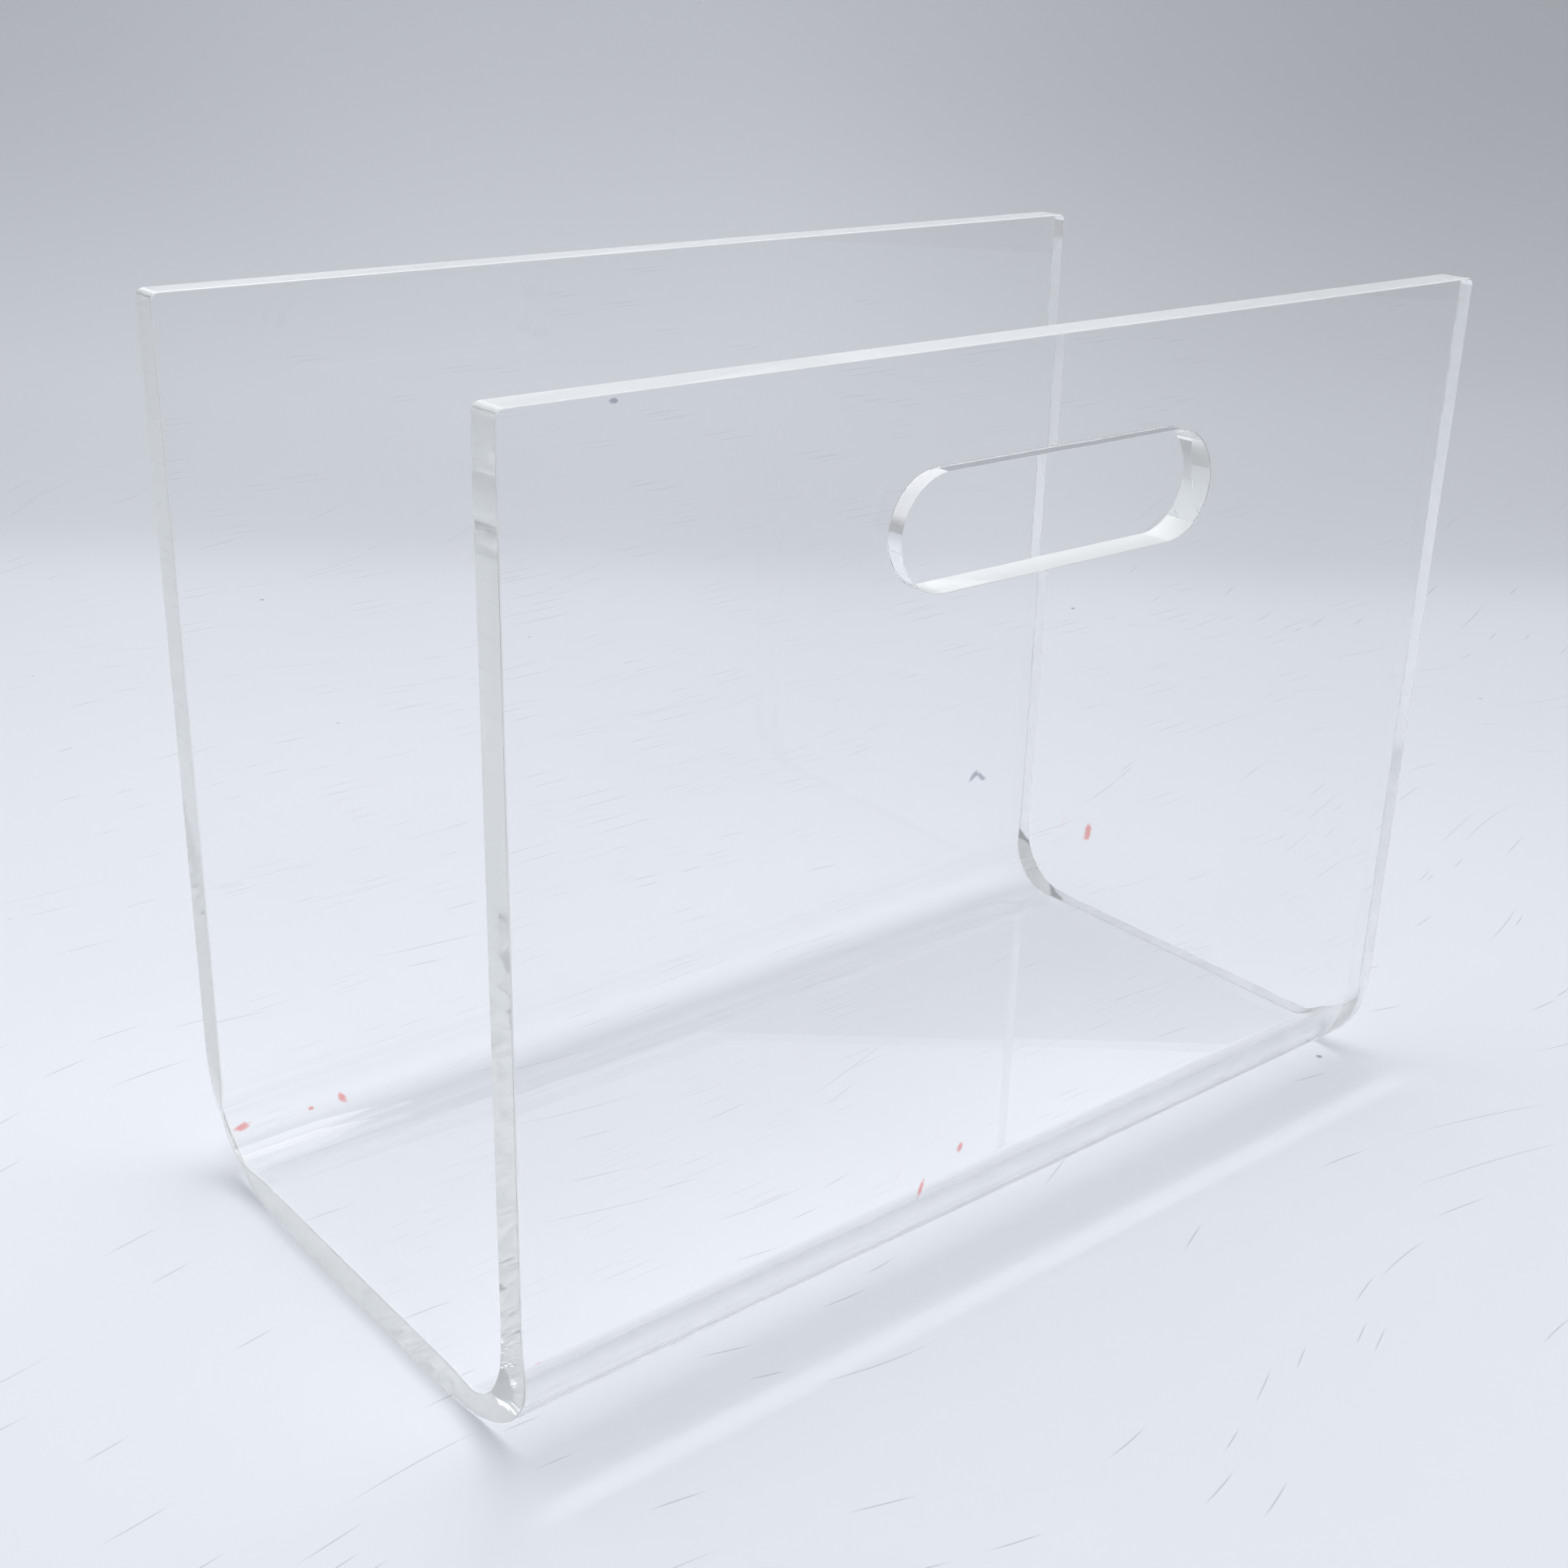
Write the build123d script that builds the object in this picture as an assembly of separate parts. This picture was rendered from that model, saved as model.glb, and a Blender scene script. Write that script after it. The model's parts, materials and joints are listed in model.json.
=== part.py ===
from build123d import *
import os

# A magazine rack bent from one thick clear acrylic sheet, in millimetres.
# Origin: centre of the footprint, on the surface it stands on. +X runs along the rack's length,
# -Y is the side with the hand slot, +Z is up.

# The bent sheet
LENGTH = 350.0
DEPTH = 182.0
HEIGHT = 274.0
THICKNESS = 10.0

# The two hot bends. The sheet thins where it stretches round them, so the outer radius is more
# than the inner radius plus the thickness.
OUTER_BEND_R = 30.0
INNER_BEND_R = 18.0

# The hand slot in the front panel, with half-round ends, midway along it
SLOT_LENGTH = 117.0
SLOT_HEIGHT = 31.5
SLOT_CENTRE_Z = 227.25

# Softening of the sheet's outline corners and of its sawn and polished edges
SHEET_CORNER_R = 2.5
SHEET_EDGE_R = 0.4
SLOT_EDGE_R = 0.3

FRONT_FACE_Y = -DEPTH / 2
FRONT_INNER_Y = FRONT_FACE_Y + THICKNESS


def u_outline(half_depth, floor_z, bend_r):
    """One side of the U seen from the end: down the front, round two bends, up the rear."""
    low = floor_z + bend_r
    flat = half_depth - bend_r
    front = Line((-half_depth, HEIGHT), (-half_depth, low))
    front_bend = RadiusArc((-half_depth, low), (-flat, floor_z), -bend_r)
    base = Line((-flat, floor_z), (flat, floor_z))
    rear_bend = RadiusArc((flat, floor_z), (half_depth, low), -bend_r)
    rear = Line((half_depth, low), (half_depth, HEIGHT))
    return [front, front_bend, base, rear_bend, rear]


def bent_blank():
    """The U section run along the rack's length."""
    half_depth = DEPTH / 2
    half_well = half_depth - THICKNESS
    outer = u_outline(half_depth, 0.0, OUTER_BEND_R)
    inner = u_outline(half_well, THICKNESS, INNER_BEND_R)
    front_top = Line((-half_depth, HEIGHT), (-half_well, HEIGHT))
    rear_top = Line((half_well, HEIGHT), (half_depth, HEIGHT))
    section = make_face(outer + inner + [front_top, rear_top])
    return extrude(Plane.YZ * section, LENGTH / 2, both=True)


def outline_corners(sheet):
    """The four short edges where a panel's top meets an end of the sheet."""
    return sheet.edges().filter_by(Axis.Y).filter_by_position(Axis.Z, HEIGHT, HEIGHT)


def perimeter_edges(sheet):
    """The straight edges of both skins' rims. The rounding runs on from them round the bends."""
    upright = sheet.faces().filter_by(Axis.X).edges().filter_by(Axis.Z)
    along_top = sheet.edges().filter_by(Axis.X).filter_by_position(Axis.Z, HEIGHT, HEIGHT)
    return upright + along_top


def slot_tool():
    """The body cut away by the router: a bar with half-round ends, through the front panel."""
    outline = SlotOverall(SLOT_LENGTH, SLOT_HEIGHT)
    start = Plane(origin=(0, FRONT_INNER_Y + THICKNESS, SLOT_CENTRE_Z),
                  x_dir=(1, 0, 0), z_dir=(0, -1, 0))
    return extrude(start * outline, 3 * THICKNESS)


def slot_rims(sheet):
    """The slot's edges on both faces of the front panel."""
    half = SLOT_HEIGHT / 2
    low = SLOT_CENTRE_Z - half - SLOT_EDGE_R
    high = SLOT_CENTRE_Z + half + SLOT_EDGE_R
    near = sheet.edges().filter_by_position(Axis.Y, FRONT_FACE_Y, FRONT_INNER_Y)
    lying_flat = near.filter_by(lambda edge: edge.bounding_box().size.Y < SLOT_EDGE_R)
    inside = lying_flat.filter_by_position(Axis.Z, low, high)
    half_length = SLOT_LENGTH / 2 + SLOT_EDGE_R
    return inside.filter_by_position(Axis.X, -half_length, half_length)


def bent_sheet():
    sheet = bent_blank()
    sheet = fillet(outline_corners(sheet), SHEET_CORNER_R)
    sheet = fillet(perimeter_edges(sheet), SHEET_EDGE_R)
    sheet = sheet - slot_tool()
    return fillet(slot_rims(sheet), SLOT_EDGE_R)


os.makedirs("parts", exist_ok=True)
export_step(bent_sheet(), "parts/bent_sheet.step")
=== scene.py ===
import json
import math

import bpy
import numpy as np
from mathutils import Matrix, Vector


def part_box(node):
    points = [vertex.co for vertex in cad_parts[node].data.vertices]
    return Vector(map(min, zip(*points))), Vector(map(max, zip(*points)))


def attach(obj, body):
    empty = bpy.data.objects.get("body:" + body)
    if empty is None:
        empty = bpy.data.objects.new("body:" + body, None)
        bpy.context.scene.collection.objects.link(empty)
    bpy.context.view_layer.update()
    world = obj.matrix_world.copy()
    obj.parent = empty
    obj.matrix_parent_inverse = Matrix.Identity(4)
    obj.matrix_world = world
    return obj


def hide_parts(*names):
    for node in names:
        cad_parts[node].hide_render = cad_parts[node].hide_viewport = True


# A magazine rack bent from one thick clear acrylic sheet, standing on a used white sweep.
# The sheet is built as a flat blank, in metres: x along the rack, s down the front wall, across
# the base and up the rear wall, t from the outer skin to the inner one. Then it is bent.

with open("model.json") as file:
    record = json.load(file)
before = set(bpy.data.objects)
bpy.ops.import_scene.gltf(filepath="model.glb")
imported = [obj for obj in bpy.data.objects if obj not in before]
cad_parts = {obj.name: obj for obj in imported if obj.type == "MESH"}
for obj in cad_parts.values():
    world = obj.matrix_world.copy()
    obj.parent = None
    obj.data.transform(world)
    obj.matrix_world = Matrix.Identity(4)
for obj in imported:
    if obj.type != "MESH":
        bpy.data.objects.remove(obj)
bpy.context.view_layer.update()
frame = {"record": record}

MM = 0.001
NODE = "bent_sheet"
LOW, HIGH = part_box(NODE)
LENGTH = HIGH.x - LOW.x
DEPTH = HIGH.y - LOW.y
HEIGHT = HIGH.z - LOW.z


def record_entry(entries, name):
    """The record's mount or opening of that name."""
    return next(entry for entry in entries if entry["name"] == name)


THICKNESS = record_entry(frame["record"]["mounts"], "well_floor")["pos_m"][2]
SLOT_BOX = record_entry(frame["record"]["physics"]["openings"], "hand_slot")["box_m"]
SLOT_X = (SLOT_BOX[0][0] + SLOT_BOX[1][0]) / 2
SLOT_Z = (SLOT_BOX[0][2] + SLOT_BOX[1][2]) / 2

# The hot bends and the softened edges
OUTER_BEND_R = 30 * MM
INNER_BEND_R = 18 * MM
CORNER_R = 2.5 * MM
EDGE_R = 0.4 * MM
SLOT_EDGE_R = 0.3 * MM
SLOT_R = 15.75 * MM
SLOT_HALF_RUN = 42.75 * MM

# The blank: a wall, a bend, the base, a bend and a wall
WALL_RUN = HEIGHT - OUTER_BEND_R
BEND_RUN = math.pi / 4 * (OUTER_BEND_R + INNER_BEND_R)
BASE_RUN = DEPTH - 2 * OUTER_BEND_R
BLANK_RUN = 2 * WALL_RUN + 2 * BEND_RUN + BASE_RUN
SLOT_S = HEIGHT - SLOT_Z

# Where a bend meets an end of the sheet, the stretched outer skin draws in and the squeezed
# inner skin swells out
DRAW_IN = 2.0 * MM
SWELL_OUT = 1.5 * MM
DRAW_REACH = 18 * MM
DRAW_FALLOFF = 1.5
DRAW_HALF_SPAN = 0.78 * BEND_RUN

# The softened strip along each bend sets with a slight ripple: a long wave and a shorter,
# slanting one, in radians a metre
RIPPLE = 0.004 * MM
RIPPLE_REACH = 45 * MM
LONG_WAVE, SHORT_WAVE, SHORT_WAVE_SLANT = 61, 128, 40
SHORT_WAVE_SHARE = 0.6
SHORT_WAVE_PHASE = 2.3
OUTER_PHASE, INNER_PHASE = 0.7, 2.9


def smooth(value, start, end):
    """0 before start, 1 after end, and an even S in between."""
    share = np.clip((value - start) / (end - start), 0, 1)
    return share * share * (3 - 2 * share)


# ---------------------------------------------------------------- the bending of the blank

def from_top(s):
    """How far down its own wall a point of the blank lies, counted on into the base."""
    return BLANK_RUN / 2 - np.abs(s - BLANK_RUN / 2)


def skin_path(run, flat, radius, floor, drop):
    """y and z of one skin, for the half of the U on the +y side."""
    along_base = np.clip(BLANK_RUN / 2 - run, 0, BASE_RUN / 2) / (BASE_RUN / 2)
    turn = np.clip((WALL_RUN + BEND_RUN - run) / BEND_RUN, 0, 1) * math.pi / 2
    up = np.clip(WALL_RUN - run, 0, None)
    y = along_base * flat + radius * np.sin(turn)
    z = floor + radius * (1 - np.cos(turn)) + up + drop * smooth(up, 0, OUTER_BEND_R)
    return y, z


def ripple(x, s, phase):
    """Height of the set ripple: none on the open walls, most beside the bends."""
    near = np.abs(from_top(s) - WALL_RUN - BEND_RUN / 2)
    window = 1 - smooth(near, BEND_RUN / 2, RIPPLE_REACH)
    long_wave = np.sin(x * LONG_WAVE + phase)
    short_wave = np.sin(x * SHORT_WAVE + SHORT_WAVE_PHASE * phase + s * SHORT_WAVE_SLANT)
    waves = long_wave + SHORT_WAVE_SHARE * short_wave
    return RIPPLE * window * waves / (1 + SHORT_WAVE_SHARE)


def drawn(x, s, t):
    """The shift of x at the ends of the bends."""
    middle = WALL_RUN + BEND_RUN / 2
    off = np.clip(np.abs(from_top(s) - middle) / DRAW_HALF_SPAN, 0, 1)
    along = np.cos(off * math.pi / 2) ** 2
    across = smooth(np.abs(x), LENGTH / 2 - DRAW_REACH, LENGTH / 2) ** DRAW_FALLOFF
    depth = t / THICKNESS
    return np.sign(x) * across * along * (SWELL_OUT * depth - DRAW_IN * (1 - depth))


def bend(flat):
    """Points of the blank (x, s, t) to the bent sheet's (x, y, z)."""
    x, s, t = flat[..., 0], flat[..., 1], flat[..., 2]
    run = from_top(s)
    side = np.where(s < BLANK_RUN / 2, -1.0, 1.0)
    slack = (OUTER_BEND_R - INNER_BEND_R) - THICKNESS
    outer_y, outer_z = skin_path(run, DEPTH / 2 - OUTER_BEND_R, OUTER_BEND_R, 0.0, 0.0)
    inner_flat = DEPTH / 2 - THICKNESS - INNER_BEND_R
    inner_y, inner_z = skin_path(run, inner_flat, INNER_BEND_R, THICKNESS, slack)
    depth = t / THICKNESS
    depth = depth + (1 - depth) * ripple(x, s, OUTER_PHASE) / THICKNESS
    depth = depth + depth * ripple(x, s, INNER_PHASE) / THICKNESS
    y = side * (outer_y + (inner_y - outer_y) * depth)
    z = outer_z + (inner_z - outer_z) * depth
    return np.stack([x + drawn(x, s, t), y, z], axis=-1)


def bend_normals(flat, normals):
    """Directions square to the blank's surface, carried round the bends."""
    step = 1e-5
    columns = []
    for axis in range(3):
        nudge = np.zeros(3)
        nudge[axis] = step
        columns.append((bend(flat + nudge) - bend(flat - nudge)) / (2 * step))
    jacobian = np.stack(columns, axis=-1)
    carried = np.einsum("nji,nj->ni", np.linalg.inv(jacobian), normals)
    return carried / np.linalg.norm(carried, axis=1, keepdims=True)


# ---------------------------------------------------------------- the flat blank

def stations(start, *runs):
    """Positions along a line. Each run is (its end, the longest step in it)."""
    places = [start]
    for end, step in runs:
        count = max(1, math.ceil(abs(end - places[-1]) / step - 1e-6))
        places += list(np.linspace(places[-1], end, count + 1)[1:])
    return np.array(places)


SKIN_CORNER_R = CORNER_R - EDGE_R
SKIN_HALF_X = LENGTH / 2 - EDGE_R
PATCH_MARGIN = 8 * MM
PATCH_HALF_X = SLOT_HALF_RUN + SLOT_R + PATCH_MARGIN
PATCH_HALF_S = SLOT_R + PATCH_MARGIN
COARSE, MEDIUM, FINE = 8 * MM, 3 * MM, 2 * MM
BEND_STEP = 0.8 * MM
CORNER_STEP = SKIN_CORNER_R / 4
DRAW_GRID_REACH = 1.4 * DRAW_REACH
PAST_BEND = 10 * MM


def columns_x():
    """Where the grid's columns lie: closest at the corners, close at the ends and the slot."""
    end, patch_low, patch_high = SKIN_HALF_X, SLOT_X - PATCH_HALF_X, SLOT_X + PATCH_HALF_X
    near_end = end - DRAW_GRID_REACH
    return stations(-end, (-end + SKIN_CORNER_R, CORNER_STEP), (-near_end, FINE),
                    (patch_low, COARSE), (patch_high, MEDIUM), (near_end, COARSE),
                    (end - SKIN_CORNER_R, FINE), (end, CORNER_STEP))


def rows_s():
    """Where the grid's rows lie, from one top edge to the other: closest round the bends."""
    top, corner = EDGE_R, EDGE_R + SKIN_CORNER_R
    ripple_start = WALL_RUN - RIPPLE_REACH
    bend_end = WALL_RUN + BEND_RUN
    half = stations(top, (corner, CORNER_STEP), (SLOT_S - PATCH_HALF_S, MEDIUM),
                    (SLOT_S + PATCH_HALF_S, FINE), (ripple_start, COARSE), (WALL_RUN, MEDIUM),
                    (bend_end, BEND_STEP), (bend_end + PAST_BEND, MEDIUM),
                    (BLANK_RUN / 2, COARSE))
    return np.concatenate([half, BLANK_RUN - half[-2::-1]])


def rounded(x, s):
    """The skin's grid with its four corners drawn in to arcs, and its outline's directions."""
    centre_x = np.sign(x) * (SKIN_HALF_X - SKIN_CORNER_R)
    middle = BLANK_RUN / 2
    half_s = middle - EDGE_R
    centre_s = middle + np.sign(s - middle) * (half_s - SKIN_CORNER_R)
    dx, ds = x - centre_x, s - centre_s
    out_x, out_s = np.maximum(dx * np.sign(x), 0), np.maximum(ds * np.sign(s - middle), 0)
    reach = np.hypot(out_x, out_s)
    square = np.maximum(out_x, out_s)
    in_corner = np.minimum(out_x, out_s) > 0
    scale = np.where(in_corner, square / np.maximum(reach, 1e-12), 1.0)
    x = np.where(in_corner, centre_x + dx * scale, x)
    s = np.where(in_corner, centre_s + ds * scale, s)
    away = np.stack([out_x * np.sign(dx), out_s * np.sign(ds), 0 * x], axis=-1)
    return np.stack([x, s, 0 * x], axis=-1), away


def ring_of(grid):
    """A grid's outline, anticlockwise, without repeating the first point."""
    return np.concatenate([grid[:-1, 0], grid[-1, :-1], grid[:0:-1, -1], grid[0, :0:-1]])


class Blank:
    """Quads of the flat blank, each corner with its surface direction and an edge mark."""

    def __init__(self):
        self.points, self.normals, self.edge, self.quads = [], [], [], []
        self.count = 0

    def patch(self, points, normals, edge, keep=None, flip=False):
        """A grid of points, rows by columns, as quads."""
        rows, cols = points.shape[:2]
        index = np.arange(rows * cols).reshape(rows, cols) + self.count
        quads = np.stack([index[:-1, :-1], index[1:, :-1], index[1:, 1:], index[:-1, 1:]], -1)
        quads = quads.reshape(-1, 4) if keep is None else quads[keep]
        self.quads.append(quads[:, ::-1] if flip else quads)
        self.points.append(points.reshape(-1, 3))
        self.normals.append(np.broadcast_to(normals, points.shape).reshape(-1, 3))
        self.edge.append(np.broadcast_to(edge, (rows, cols)).reshape(-1))
        self.count += rows * cols

    def welded(self):
        """Points, directions, edge marks and faces, with shared points joined."""
        points = np.concatenate(self.points)
        keys = np.round(points * 1e8).astype(np.int64)
        _, first, group = np.unique(keys, axis=0, return_index=True, return_inverse=True)
        faces = group.reshape(-1)[np.concatenate(self.quads)]
        return (points[first], np.concatenate(self.normals)[first],
                np.concatenate(self.edge)[first], faces)


EDGE_ARC_POINTS = 6
EDGE_WALL_POINTS = 6
# Points of the strip that lean outward more than this count as edge, not skin
EDGE_LEAN = 0.05
SLOT_WOBBLE = 0.05 * MM
# Rings of the patch round the slot, as shares of the way from its edge to the outline
SLOT_RINGS = np.array([0, 0.05, 0.14, 0.28, 0.48, 0.72, 1.0])


def edge_profile(radius):
    """Steps across the sheet's edge: reach outward, depth t, and direction (outward, t)."""
    angles = np.linspace(0, math.pi / 2, EDGE_ARC_POINTS)
    lower = [(radius * math.sin(a), radius - radius * math.cos(a), math.sin(a), -math.cos(a))
             for a in angles]
    depths = np.linspace(radius, THICKNESS - radius, EDGE_WALL_POINTS)[1:-1]
    wall = [(radius, depth, 1.0, 0.0) for depth in depths]
    upper = [(out, THICKNESS - t, across, -along) for out, t, across, along in lower[::-1]]
    return np.array(lower + wall + upper)


def edge_strip(blank, ring, outward, radius):
    """The rounded edge between the two skins, along a closed ring of skin points."""
    ring = np.concatenate([ring, ring[:1]])
    outward = np.concatenate([outward, outward[:1]])
    reach, depth, across, along = edge_profile(radius).T
    up = np.array([0.0, 0.0, 1.0])
    points = ring[:, None] + outward[:, None] * reach[:, None] + up * depth[:, None]
    normals = outward[:, None] * across[:, None] + up * along[:, None]
    blank.patch(points, normals, (across > EDGE_LEAN).astype(float))


def slot_ring(outline):
    """The slot's edge on the skin, one point for each point round the patch's outline, and
    the directions into the slot."""
    centre = np.array([SLOT_X, SLOT_S, 0.0])
    offset = outline - centre
    spine = np.clip(offset[:, 0], -SLOT_HALF_RUN, SLOT_HALF_RUN)
    base = centre + np.stack([spine, 0 * spine, 0 * spine], axis=-1)
    inward = base - outline
    inward /= np.linalg.norm(inward, axis=1, keepdims=True)
    angle = np.arctan2(offset[:, 1], offset[:, 0])
    wobble = SLOT_WOBBLE * (np.sin(3 * angle + 1.1) + 0.7 * np.sin(7 * angle + 0.4))
    return base - inward * (SLOT_R + SLOT_EDGE_R + wobble)[:, None], inward


def slot_patch(blank, outline, depth, direction, flip):
    """The skin between the slot's edge and the patch's rectangle."""
    ring, _ = slot_ring(outline)
    points = ring[None] + (outline - ring)[None] * SLOT_RINGS[:, None, None]
    points = np.concatenate([points, points[:, :1]], axis=1)
    blank.patch(points + depth, direction, 0.0, flip=flip)


def build_blank():
    """The whole blank: two skins, the outer edge and the slot's edge."""
    xs, ss = np.meshgrid(columns_x(), rows_s(), indexing="ij")
    grid, away = rounded(xs, ss)
    mid_x, mid_s = (xs[1:, 1:] + xs[:-1, :-1]) / 2, (ss[1:, 1:] + ss[:-1, :-1]) / 2
    in_patch = (np.abs(mid_x - SLOT_X) < PATCH_HALF_X) & (np.abs(mid_s - SLOT_S) < PATCH_HALF_S)
    cols = np.where(np.abs(xs[:, 0] - SLOT_X) < PATCH_HALF_X + 1e-7)[0]
    rows = np.where(np.abs(ss[0] - SLOT_S) < PATCH_HALF_S + 1e-7)[0]
    window = grid[cols[0]:cols[-1] + 1, rows[0]:rows[-1] + 1]
    outline = ring_of(window)
    up = np.array([0.0, 0.0, 1.0])
    blank = Blank()
    for depth, direction, flip in ((0.0, -up, True), (THICKNESS, up, False)):
        blank.patch(grid + up * depth, direction, 0.0, keep=~in_patch, flip=flip)
        slot_patch(blank, outline, up * depth, direction, flip)
    rim_away = ring_of(away)
    rim_away /= np.linalg.norm(rim_away, axis=1, keepdims=True)
    edge_strip(blank, ring_of(grid), rim_away, EDGE_R)
    slot_edge, inward = slot_ring(outline)
    edge_strip(blank, slot_edge[::-1], inward[::-1], SLOT_EDGE_R)
    return blank.welded()


HAZE_PITCH = 14
HAZE_SEED = 8
HAZE_OCTAVES, WAVES_AN_OCTAVE = 3, 4
HAZE_CONTRAST = 1.1


def blotches(flat):
    """A soft random pattern over the blank, from 0 to 1, worn a little differently on each
    skin."""
    total, weight = np.zeros(len(flat)), 0.0
    rng = np.random.default_rng(HAZE_SEED)
    depth = flat[:, 2] / THICKNESS
    for octave in range(HAZE_OCTAVES):
        for _ in range(WAVES_AN_OCTAVE):
            turn = rng.uniform(0, 2 * math.pi, 3)
            pitch = HAZE_PITCH * 2 ** octave * rng.uniform(0.7, 1.3)
            along = flat[:, 0] * math.cos(turn[0]) + flat[:, 1] * math.sin(turn[0])
            total += np.sin(along * pitch + turn[1] + depth * turn[2]) / (octave + 1)
            weight += 1 / (octave + 1)
    return np.clip(0.5 + HAZE_CONTRAST * total / weight, 0, 1)


# The edges' finishes, by material index after the skin's, and how clear each is: the more it
# was scraped and the less it was polished, the milkier it is
EDGE_CLARITY = {"left_end": 0.55, "right_end": 0.80, "top": 0.25, "slot_rim": 0.95,
                "slot_floor": 0.08}
LEFT_END, RIGHT_END, TOP, SLOT_RIM, SLOT_FLOOR = range(1, 6)
# The slot's floor starts this share of its radius below its middle
SLOT_FLOOR_START = 0.75


def edge_finish(centres):
    """Which finish each face of an edge has, from its centre on the blank."""
    x, s = centres[:, 0], centres[:, 1]
    finish = np.where(x < 0, LEFT_END, RIGHT_END)
    finish = np.where((s < EDGE_R) | (s > BLANK_RUN - EDGE_R), TOP, finish)
    off_x = x - SLOT_X - np.clip(x - SLOT_X, -SLOT_HALF_RUN, SLOT_HALF_RUN)
    off_s = s - SLOT_S
    in_slot = np.hypot(off_x, off_s) < SLOT_R + 2 * SLOT_EDGE_R
    low = off_s > SLOT_FLOOR_START * SLOT_R
    return np.where(in_slot, np.where(low, SLOT_FLOOR, SLOT_RIM), finish)


def bent_sheet():
    """The bent sheet as one closed mesh."""
    flat, normals, edge, faces = build_blank()
    mesh = bpy.data.meshes.new("clear_sheet")
    mesh.from_pydata(bend(flat).tolist(), [], faces.tolist())
    mesh.polygons.foreach_set("use_smooth", np.ones(len(faces), bool))
    sheet_coords = mesh.attributes.new("sheet", "FLOAT_VECTOR", "POINT")
    sheet_coords.data.foreach_set("vector", flat.reshape(-1))
    on_edge = edge[faces].max(axis=1) > 0.5
    finish = np.where(on_edge, edge_finish(flat[faces].mean(axis=1)), 0)
    mesh.polygons.foreach_set("material_index", finish.astype(np.int32))
    haze = mesh.attributes.new("haze", "FLOAT", "POINT")
    haze.data.foreach_set("value", blotches(flat))
    mesh.update()
    mesh.normals_split_custom_set_from_vertices(bend_normals(flat, normals).tolist())
    sheet = bpy.data.objects.new("clear_sheet", mesh)
    bpy.context.scene.collection.objects.link(sheet)
    return sheet


# ---------------------------------------------------------------- materials

class Nodes:
    """Short ways of adding nodes to one node tree."""

    def __init__(self, tree):
        self.tree = tree
        tree.nodes.clear()

    def add(self, kind, inputs=None, **settings):
        """A new node, with its settings and its inputs."""
        node = self.tree.nodes.new(kind)
        for name, value in settings.items():
            setattr(node, name, value)
        for key, value in (inputs or {}).items():
            self.feed(node.inputs[key], value)
        return node

    def feed(self, socket, value):
        """A socket takes another node's output or a constant."""
        if isinstance(value, bpy.types.NodeSocket):
            self.tree.links.new(value, socket)
        else:
            socket.default_value = value

    def math(self, operation, first, second):
        """One operation on two numbers."""
        node = self.add("ShaderNodeMath", operation=operation)
        self.feed(node.inputs[0], first)
        self.feed(node.inputs[1], second)
        return node.outputs[0]

    def ramp(self, value, low, high, out_low=0.0, out_high=1.0):
        """value from low..high to out_low..out_high, smoothed and held at the ends."""
        node = self.add("ShaderNodeMapRange", interpolation_type="SMOOTHSTEP")
        for name, item in (("Value", value), ("From Min", low), ("From Max", high),
                           ("To Min", out_low), ("To Max", out_high)):
            self.feed(node.inputs[name], item)
        return node.outputs["Result"]

    def mix(self, share, first, second):
        """The first colour, and by that share the second one."""
        node = self.add("ShaderNodeMix", data_type="RGBA")
        self.feed(node.inputs["Factor"], share)
        self.feed(node.inputs["A"], first)
        self.feed(node.inputs["B"], second)
        return node.outputs["Result"]

    def noise(self, vector, scale, detail=2.0, rough=0.5):
        """A cloudy pattern, scale cells a unit of the vector."""
        inputs = {"Vector": vector, "Scale": scale, "Detail": detail, "Roughness": rough}
        return self.add("ShaderNodeTexNoise", inputs).outputs["Fac"]

    def along(self, vector, direction):
        """How far the vector reaches in that direction."""
        node = self.add("ShaderNodeVectorMath", operation="DOT_PRODUCT")
        self.feed(node.inputs[0], vector)
        self.feed(node.inputs[1], direction)
        return node.outputs["Value"]

    def turned(self, vector, angle, stretch, shift=(0, 0, 0)):
        """The coordinates stretched, turned about z and shifted."""
        node = self.add("ShaderNodeMapping", {"Vector": vector}, vector_type="POINT")
        node.inputs["Rotation"].default_value = (0, 0, math.radians(angle))
        node.inputs["Scale"].default_value = stretch
        node.inputs["Location"].default_value = shift
        return node.outputs["Vector"]


# Small marks on the skins: x, s from the front top edge, which skin, half length, half width,
# angle, colour
OUTER, INNER = 0.0, THICKNESS
RED, DARK = (0.85, 0.13, 0.11, 1.0), (0.22, 0.24, 0.30, 1.0)
MARKS = [
    (-170 * MM, 426 * MM, INNER, 2.6 * MM, 1.6 * MM, 15, RED),
    (-137 * MM, 424 * MM, INNER, 1.4 * MM, 2.6 * MM, 10, RED),
    (-148 * MM, 424 * MM, INNER, 1.1 * MM, 0.9 * MM, 0, RED),
    (-157 * MM, 277 * MM, INNER, 1.0 * MM, 0.8 * MM, 40, RED),
    (-39 * MM, 243.0 * MM, OUTER, 0.9 * MM, 3.2 * MM, 18, RED),
    (-24 * MM, 235.0 * MM, OUTER, 1.1 * MM, 1.8 * MM, 25, RED),
    (20 * MM, 145.5 * MM, OUTER, 1.6 * MM, 3.0 * MM, 5, RED),
    (-28.2 * MM, 116.6 * MM, OUTER, 0.9 * MM, 2.0 * MM, 50, DARK),
    (-25.4 * MM, 117.4 * MM, OUTER, 2.6 * MM, 0.8 * MM, 38, DARK),
    (-145 * MM, 1.6 * MM, OUTER, 1.4 * MM, 0.7 * MM, 5, DARK),
]
MARK_RIM = 1.7
MARK_STRENGTH = 0.9


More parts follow.
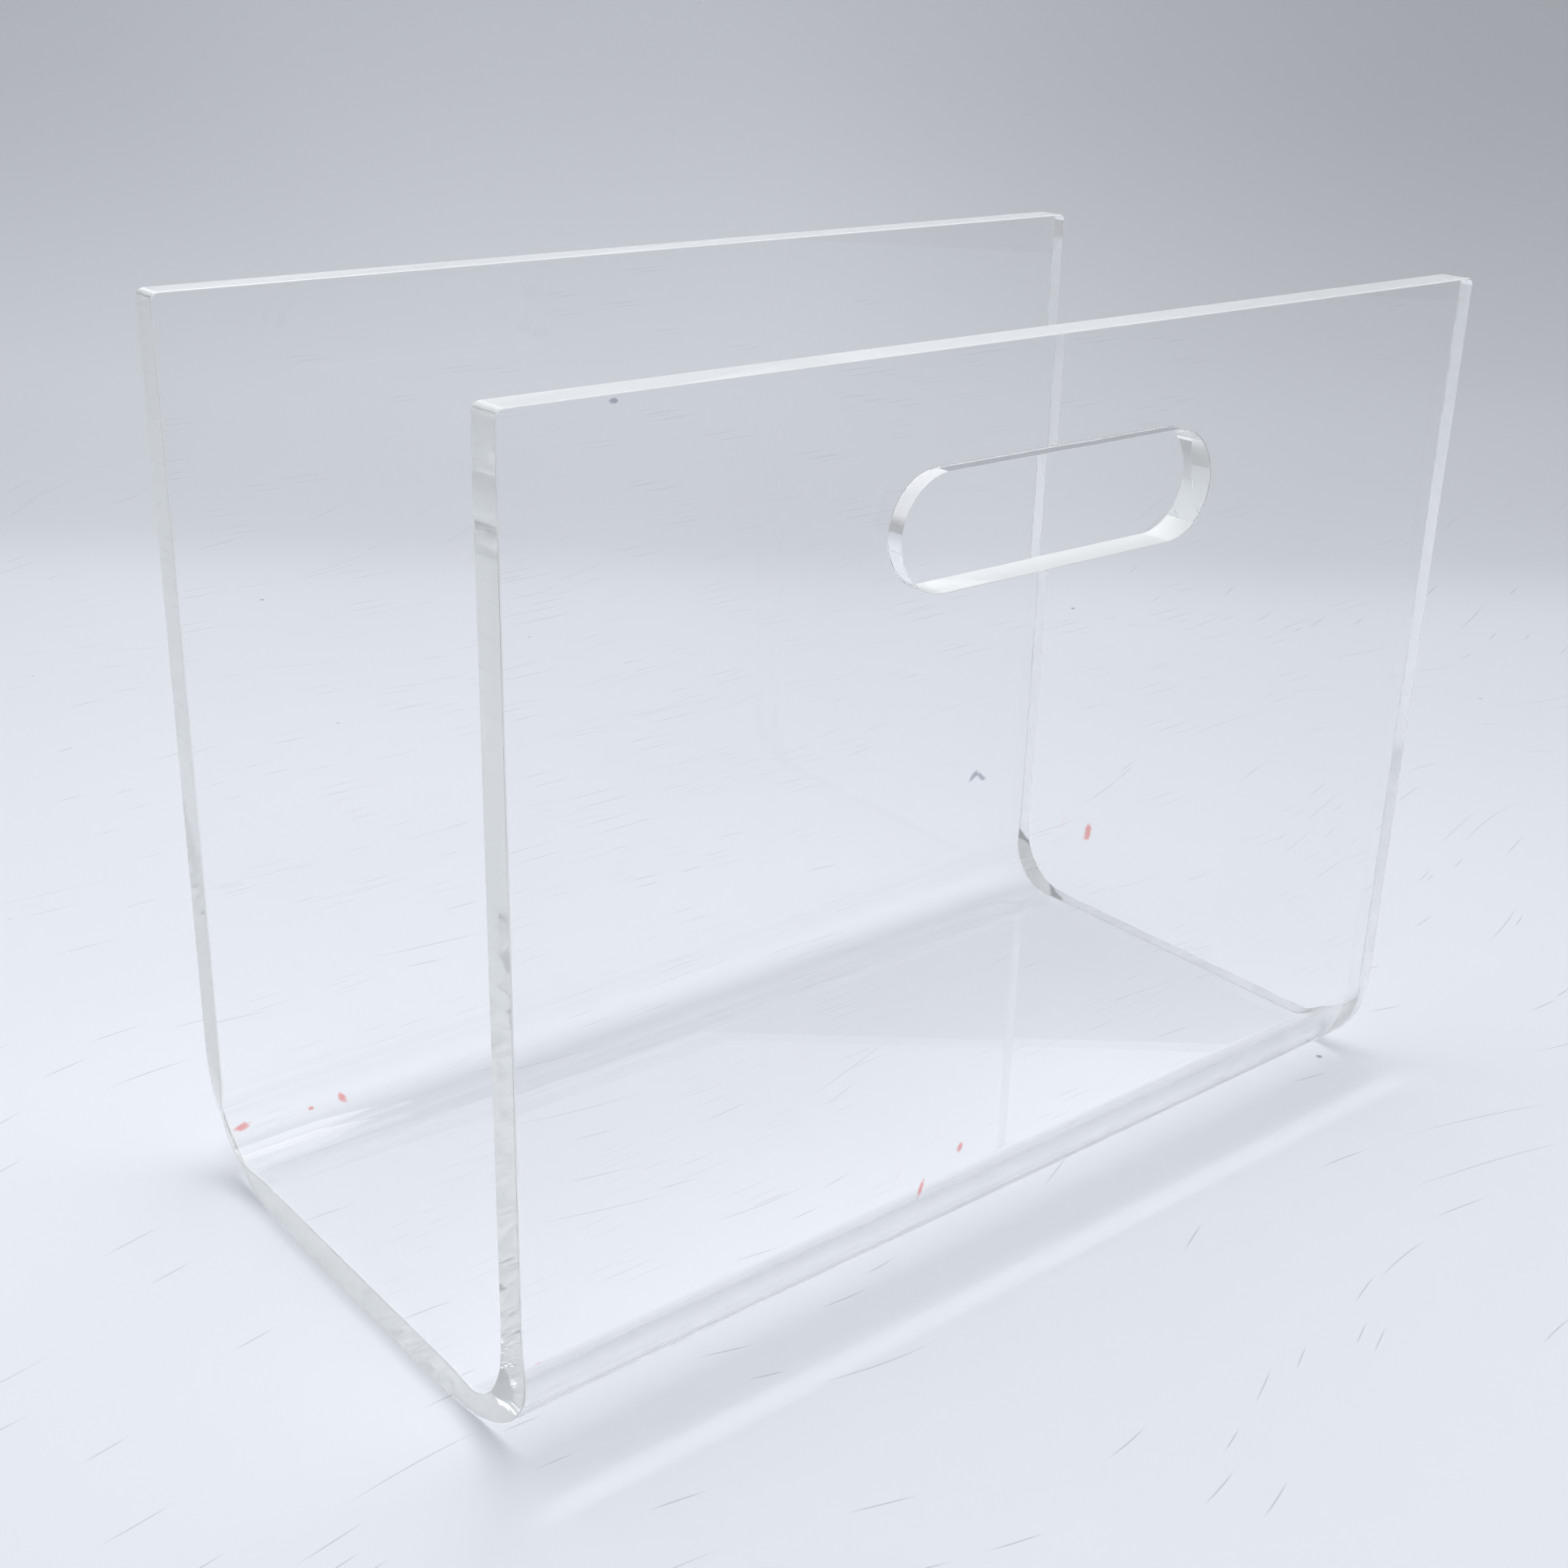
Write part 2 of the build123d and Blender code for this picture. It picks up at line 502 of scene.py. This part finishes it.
def mark_mask(nodes, coords, broken, mark):
    """One small mark: a ragged patch on one skin, thinning out at its rim."""
    x, s, skin, half_length, half_width, angle, _ = mark
    placed = nodes.add("ShaderNodeMapping", {"Vector": coords}, vector_type="TEXTURE")
    placed.inputs["Location"].default_value = (x, s, skin)
    placed.inputs["Rotation"].default_value = (0, 0, math.radians(angle))
    placed.inputs["Scale"].default_value = (half_length, half_width, THICKNESS / 4)
    reach = nodes.add("ShaderNodeVectorMath", operation="LENGTH")
    nodes.feed(reach.inputs[0], placed.outputs["Vector"])
    ragged = nodes.math("ADD", reach.outputs["Value"], broken)
    return nodes.ramp(ragged, 1.0, MARK_RIM, 1.0, 0.0)


# A scratch is the part of a stretched cell that lies this close to its middle
SCRATCH_CORE = 0.15
SCRATCH_FULL = 0.3 * SCRATCH_CORE


def scratch_layer(nodes, coords, turn, length, width, share, shift):
    """Short scratches along x: the cores of a few long, thin cells. The turn and the shift
    are of the pattern of cells, after it's stretched."""
    cell_length, cell_width = length / (2 * SCRATCH_CORE), width / (2 * SCRATCH_CORE)
    stretch = (1 / cell_length, 1 / cell_width, 1)
    turned = nodes.turned(coords, turn, stretch, (shift, 2.7 * shift, 0))
    cells = nodes.add("ShaderNodeTexVoronoi", {"Vector": turned, "Scale": 1.0},
                      voronoi_dimensions="2D")
    line = nodes.ramp(cells.outputs["Distance"], SCRATCH_FULL, SCRATCH_CORE, 1.0, 0.0)
    pick = nodes.add("ShaderNodeSeparateColor", {"Color": cells.outputs["Color"]}).outputs[0]
    return nodes.math("MULTIPLY", line, nodes.math("LESS_THAN", pick, share))


def scratches_of(nodes, coords, layers):
    """Several layers of scratches, one over the other."""
    scratches = scratch_layer(nodes, coords, *layers[0])
    for layer in layers[1:]:
        scratches = nodes.math("MAXIMUM", scratches, scratch_layer(nodes, coords, *layer))
    return scratches


def attribute(nodes, name, output="Fac"):
    """One of the mesh's own attributes."""
    return nodes.add("ShaderNodeAttribute", attribute_name=name).outputs[output]


def new_material(material_name):
    """A material whose whole surface is one shader, its nodes, and the shader to be fed."""
    material = bpy.data.materials.new(material_name)
    material.use_nodes = True
    nodes = Nodes(material.node_tree)
    shader = nodes.add("ShaderNodeBsdfPrincipled")
    output = nodes.add("ShaderNodeOutputMaterial")
    nodes.feed(output.inputs["Surface"], shader.outputs["BSDF"])
    return material, nodes, shader


ACRYLIC_IOR = 1.49
# Scratches: the cells' turn, length, width, the share of cells that have one, the cells' shift
SKIN_SCRATCHES = [
    (24, 22 * MM, 0.30 * MM, 0.045, 1.3),
    (-41, 14 * MM, 0.28 * MM, 0.035, 5.1),
]
SKIN_CLEAR, SKIN_HAZY = (0.992, 0.992, 0.992, 1.0), (0.965, 0.963, 0.968, 1.0)
SKIN_SCRATCHED = (0.62, 0.63, 0.68, 1.0)
SCRATCH_ROUGHNESS = 0.25
SCRATCH_TINT = 0.5
MARK_GRAIN = 900.0


def skin_material():
    """The sheet's two skins: clear, with faint broken scratches, smudges and coloured marks."""
    material, nodes, shader = new_material("clear_acrylic_skin")
    shader.inputs["IOR"].default_value = ACRYLIC_IOR
    shader.inputs["Transmission Weight"].default_value = 1.0
    coords = attribute(nodes, "sheet", "Vector")
    scratches = scratches_of(nodes, coords, SKIN_SCRATCHES)
    roughness = nodes.math("MULTIPLY", scratches, SCRATCH_ROUGHNESS)
    tint = nodes.mix(attribute(nodes, "haze"), SKIN_CLEAR, SKIN_HAZY)
    tint = nodes.mix(nodes.math("MULTIPLY", scratches, SCRATCH_TINT), tint, SKIN_SCRATCHED)
    broken = nodes.noise(coords, MARK_GRAIN, 1.0)
    for mark in MARKS:
        mask = mark_mask(nodes, coords, broken, mark)
        tint = nodes.mix(nodes.math("MULTIPLY", mask, MARK_STRENGTH), tint, mark[-1])
    nodes.feed(shader.inputs["Roughness"], roughness)
    nodes.feed(shader.inputs["Base Color"], tint)
    return material


EDGE_CLEAR, EDGE_TINTED = (0.985, 0.99, 0.98, 1.0), (0.955, 0.965, 0.95, 1.0)
EDGE_SAWN = (0.90, 0.91, 0.90, 1.0)
# The saw's marks run through the sheet: they're fine along its edge
SAW_STRETCH = (900, 900, 70)
SAW_ROUGHNESS = 0.08
EDGE_PATCHES = 14.0


def edge_material(finish, clarity):
    """A cut edge of the sheet: milky where it was scraped, with saw marks, clear underneath."""
    material, nodes, shader = new_material("clear_acrylic_" + finish)
    shader.inputs["IOR"].default_value = ACRYLIC_IOR
    shader.inputs["Transmission Weight"].default_value = clarity
    coords = attribute(nodes, "sheet", "Vector")
    saw = nodes.turned(coords, 0, SAW_STRETCH)
    saw_marks = nodes.ramp(nodes.noise(saw, 1.0, 2.0, 0.6), 0.5, 0.85)
    patches = nodes.ramp(nodes.noise(coords, EDGE_PATCHES, 1.0), 0.3, 0.7)
    roughness = nodes.ramp(saw_marks, 0.0, 1.0, 0.0, SAW_ROUGHNESS)
    tint = nodes.mix(patches, EDGE_CLEAR, EDGE_TINTED)
    tint = nodes.mix(saw_marks, tint, EDGE_SAWN)
    nodes.feed(shader.inputs["Roughness"], roughness)
    nodes.feed(shader.inputs["Base Color"], tint)
    return material


# The sweep's paint, and the scuffs and specks on its floor
PAPER_DIM, PAPER_BRIGHT = (0.80, 0.815, 0.845, 1.0), (0.83, 0.845, 0.875, 1.0)
SCUFFED, SPECKED = (0.42, 0.43, 0.47, 1.0), (0.22, 0.22, 0.24, 1.0)
SCUFF_STRENGTH, SPECK_STRENGTH = 0.6, 0.7
SCUFF_STRAY = 0.15
SWEEP_SCUFFS = [
    (35, 60 * MM, 0.5 * MM, 0.025, 3.3),
    (-52, 26 * MM, 0.6 * MM, 0.03, 7.7),
    (80, 18 * MM, 0.6 * MM, 0.03, 9.2),
]
WEAR_FULL, WEAR_END = 10 * MM, 60 * MM

# Painted shade on the sweep: how much greyer it is painted, gently with height, in the crease
# where it leaves the floor, and towards one side
PAINTED_SHADE_COLOUR = (0.10, 0.10, 0.10, 1.0)
BACKDROP_SHADE = 0.19
BACKDROP_SHADE_TOP = 0.30
SIDE_SHADE = 0.13
CREASE_SHADE, CREASE_EASED = 0.14, 0.07


def strayed(nodes, coords):
    """The coordinates pulled gently about, so that long scratches aren't straight."""
    swirl = nodes.add("ShaderNodeTexNoise", {"Vector": coords, "Scale": 4.0, "Detail": 0.0})
    stray = nodes.add("ShaderNodeVectorMath", operation="MULTIPLY_ADD")
    nodes.feed(stray.inputs[0], swirl.outputs["Color"])
    nodes.feed(stray.inputs[1], (SCUFF_STRAY, SCUFF_STRAY, 0.0))
    nodes.feed(stray.inputs[2], coords)
    return stray.outputs["Vector"]


def sweep_specks(nodes, coords):
    """Where the sweep has small dark specks. Only some areas have any."""
    spots = nodes.add("ShaderNodeTexVoronoi", {"Vector": coords, "Scale": 26.0})
    specks = nodes.ramp(spots.outputs["Distance"], 0.015, 0.04, 1.0, 0.0)
    some = nodes.ramp(nodes.noise(coords, 7.0, 1.0), 0.50, 0.55)
    return nodes.math("MULTIPLY", specks, some)


def worn_paper(nodes, coords, height):
    """The sweep's colour: faintly cloudy, with scuffs and specks on its floor."""
    cloudy = nodes.ramp(nodes.noise(coords, 2.2, 1.0), 0.35, 0.7)
    paper = nodes.mix(cloudy, PAPER_DIM, PAPER_BRIGHT)
    on_floor = nodes.ramp(height, WEAR_FULL, WEAR_END, 1.0, 0.0)
    scuffs = scratches_of(nodes, strayed(nodes, coords), SWEEP_SCUFFS)
    scuffs = nodes.math("MULTIPLY", nodes.math("MULTIPLY", scuffs, SCUFF_STRENGTH), on_floor)
    specks = sweep_specks(nodes, coords)
    specks = nodes.math("MULTIPLY", nodes.math("MULTIPLY", specks, SPECK_STRENGTH), on_floor)
    worn = nodes.mix(scuffs, paper, SCUFFED)
    return nodes.mix(specks, worn, SPECKED)


def painted_sweep_shade(nodes, coords, height):
    """Painted shade: how much greyer the sweep is painted, by height, in the crease and towards
    one side.
    """
    backdrop = nodes.ramp(height, 0.0, BACKDROP_SHADE_TOP, 0.0, BACKDROP_SHADE)
    crease = nodes.math("SUBTRACT", nodes.ramp(height, 0.0, 22 * MM, 0.0, CREASE_SHADE),
                        nodes.ramp(height, 30 * MM, 90 * MM, 0.0, CREASE_EASED))
    sideways = nodes.along(coords, heading(VIEW_AZIMUTH - 90))
    side = nodes.ramp(sideways, -0.1, 0.45, 0.0, SIDE_SHADE)
    side = nodes.math("MULTIPLY", side, nodes.ramp(height, -0.02, 0.12))
    return nodes.math("ADD", nodes.math("ADD", backdrop, crease), side)


def sweep_material():
    """The used white surface that the rack stands on, matt and finely grained, with painted
    shade mixed into its colour.
    """
    material, nodes, shader = new_material("white_sweep")
    coords = nodes.add("ShaderNodeTexCoord").outputs["Object"]
    height = nodes.add("ShaderNodeSeparateXYZ", {"Vector": coords}).outputs["Z"]
    worn = worn_paper(nodes, coords, height)
    grain = nodes.noise(coords, 700.0, 0.0)
    relief = nodes.add("ShaderNodeBump", {"Height": grain, "Distance": 0.02 * MM})
    # Painted shade: the worn paper mixed towards dark grey up the backdrop, in the crease and
    # on one side
    paper_with_painted_shade = nodes.mix(painted_sweep_shade(nodes, coords, height), worn, PAINTED_SHADE_COLOUR)
    nodes.feed(shader.inputs["Base Color"], paper_with_painted_shade)
    nodes.feed(shader.inputs["Roughness"], nodes.ramp(grain, 0.3, 0.7, 0.5, 0.62))
    nodes.feed(shader.inputs["Normal"], relief.outputs["Normal"])
    shader.inputs["Specular IOR Level"].default_value = 0.3
    return material


# ---------------------------------------------------------------- stage, light and camera

VIEW_AZIMUTH = -39.75
VIEW_ELEVATION = 22.33
VIEW_ROLL = 1.514
VIEW_DISTANCE = 640 * MM
LENS = 47.49
BOX_CENTRE = (LOW + HIGH) / 2
VIEW_TARGET = BOX_CENTRE + Vector((-19.8, -1.1, -14.0)) * MM


def heading(azimuth):
    """The level direction that a camera at that azimuth looks in."""
    turn = math.radians(azimuth)
    return Vector((-math.sin(turn), math.cos(turn), 0))


def add_camera():
    """The camera, where the photograph was taken from."""
    data = bpy.data.cameras.new("camera")
    data.lens = LENS
    data.clip_start = 0.01
    camera = bpy.data.objects.new("camera", data)
    bpy.context.scene.collection.objects.link(camera)
    lift = math.radians(VIEW_ELEVATION)
    forward = heading(VIEW_AZIMUTH) * math.cos(lift) - Vector((0, 0, math.sin(lift)))
    aim = forward.to_track_quat("-Z", "Y").to_matrix().to_4x4()
    roll = Matrix.Rotation(math.radians(VIEW_ROLL), 4, "Z")
    camera.matrix_world = Matrix.Translation(VIEW_TARGET - forward * VIEW_DISTANCE) @ aim @ roll
    bpy.context.scene.camera = camera


SWEEP_START = 0.50
SWEEP_R = 0.45
SWEEP_TOP = 0.52
SWEEP_HALF_WIDTH = 2.0
SWEEP_FRONT = 2.2
SWEEP_GAP = 0.25 * MM
FLAT_POINTS, CURVE_POINTS, RISE_POINTS, SIDE_POINTS = 24, 25, 10, 17


def add_sweep():
    """A white sheet lying flat round the rack and curving up into a backdrop behind it."""
    flat = np.linspace(-SWEEP_FRONT, SWEEP_START, FLAT_POINTS)
    turn = np.linspace(0, math.pi / 2, CURVE_POINTS)[1:]
    rise = np.linspace(SWEEP_R, SWEEP_TOP, RISE_POINTS)[1:]
    away = np.concatenate([flat, SWEEP_START + SWEEP_R * np.sin(turn),
                           np.full(rise.size, SWEEP_START + SWEEP_R)])
    up = np.concatenate([0 * flat, SWEEP_R * (1 - np.cos(turn)), rise])
    forward = heading(VIEW_AZIMUTH)
    across = Vector((forward.y, -forward.x, 0))
    sides = np.linspace(-SWEEP_HALF_WIDTH, SWEEP_HALF_WIDTH, SIDE_POINTS)
    points = [across * side + forward * a + Vector((0, 0, z - SWEEP_GAP))
              for side in sides for a, z in zip(away, up)]
    count = len(away)
    quads = [(c * count + r, (c + 1) * count + r, (c + 1) * count + r + 1, c * count + r + 1)
             for c in range(len(sides) - 1) for r in range(count - 1)]
    mesh = bpy.data.meshes.new("sweep")
    mesh.from_pydata(points, [], quads)
    mesh.polygons.foreach_set("use_smooth", [True] * len(quads))
    mesh.materials.append(sweep_material())
    sweep = bpy.data.objects.new("sweep", mesh)
    bpy.context.scene.collection.objects.link(sweep)


SOFTBOX_PLACE = Vector((0.02, 0.20, 1.15))
SOFTBOX_SIZE = 0.7
SOFTBOX_POWER = 5.0
SOFTBOX_COLOUR = (0.97, 0.98, 1.0)


def add_softbox():
    """A soft square light over the rack, facing the middle of its foot."""
    data = bpy.data.lights.new("overhead", "AREA")
    data.shape = "RECTANGLE"
    data.size, data.size_y = SOFTBOX_SIZE, SOFTBOX_SIZE
    data.energy = SOFTBOX_POWER
    data.color = SOFTBOX_COLOUR
    lamp = bpy.data.objects.new("overhead", data)
    lamp.location = SOFTBOX_PLACE
    lamp.rotation_mode = "QUATERNION"
    lamp.rotation_quaternion = (-SOFTBOX_PLACE).to_track_quat("-Z", "Y")
    bpy.context.scene.collection.objects.link(lamp)


ROOM_HORIZON, ROOM_CEILING = 0.47, 0.78
ROOM_REAR_GAIN = 0.30
ROOM_COLOUR = (0.93, 0.955, 1.0, 1.0)


def add_world():
    """A pale room: dim at eye level, bright above, brighter behind the rack than before it."""
    world = bpy.data.worlds.new("room")
    world.use_nodes = True
    nodes = Nodes(world.node_tree)
    direction = nodes.add("ShaderNodeTexCoord").outputs["Generated"]
    height = nodes.add("ShaderNodeSeparateXYZ", {"Vector": direction}).outputs["Z"]
    rearward = nodes.along(direction, heading(VIEW_AZIMUTH))
    gain = nodes.ramp(rearward, -1.0, 1.0, 1 - ROOM_REAR_GAIN, 1 + ROOM_REAR_GAIN)
    glow = nodes.ramp(height, 0.05, 0.35, ROOM_HORIZON, ROOM_CEILING)
    strength = nodes.math("MULTIPLY", glow, gain)
    sky = nodes.add("ShaderNodeBackground", {"Color": ROOM_COLOUR, "Strength": strength})
    output = nodes.add("ShaderNodeOutputWorld")
    nodes.feed(output.inputs["Surface"], sky.outputs["Background"])
    bpy.context.scene.world = world


EDGE_TO_EDGE_BOUNCES = 64
SOFT_BOUNCES = 4


def light_paths():
    """Light runs far inside the sheet, from edge to edge, before it comes out."""
    cycles = bpy.context.scene.cycles
    cycles.max_bounces = EDGE_TO_EDGE_BOUNCES
    cycles.glossy_bounces = EDGE_TO_EDGE_BOUNCES
    cycles.transmission_bounces = EDGE_TO_EDGE_BOUNCES
    cycles.diffuse_bounces = SOFT_BOUNCES
    cycles.blur_glossy = 0.0
    bpy.context.scene.view_settings.view_transform = "Standard"


sheet = bent_sheet()
sheet.data.materials.append(skin_material())
for finish_name, finish_clarity in EDGE_CLARITY.items():
    sheet.data.materials.append(edge_material(finish_name, finish_clarity))
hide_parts(NODE)
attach(sheet, "root")

add_sweep()
add_world()
add_softbox()
add_camera()
light_paths()
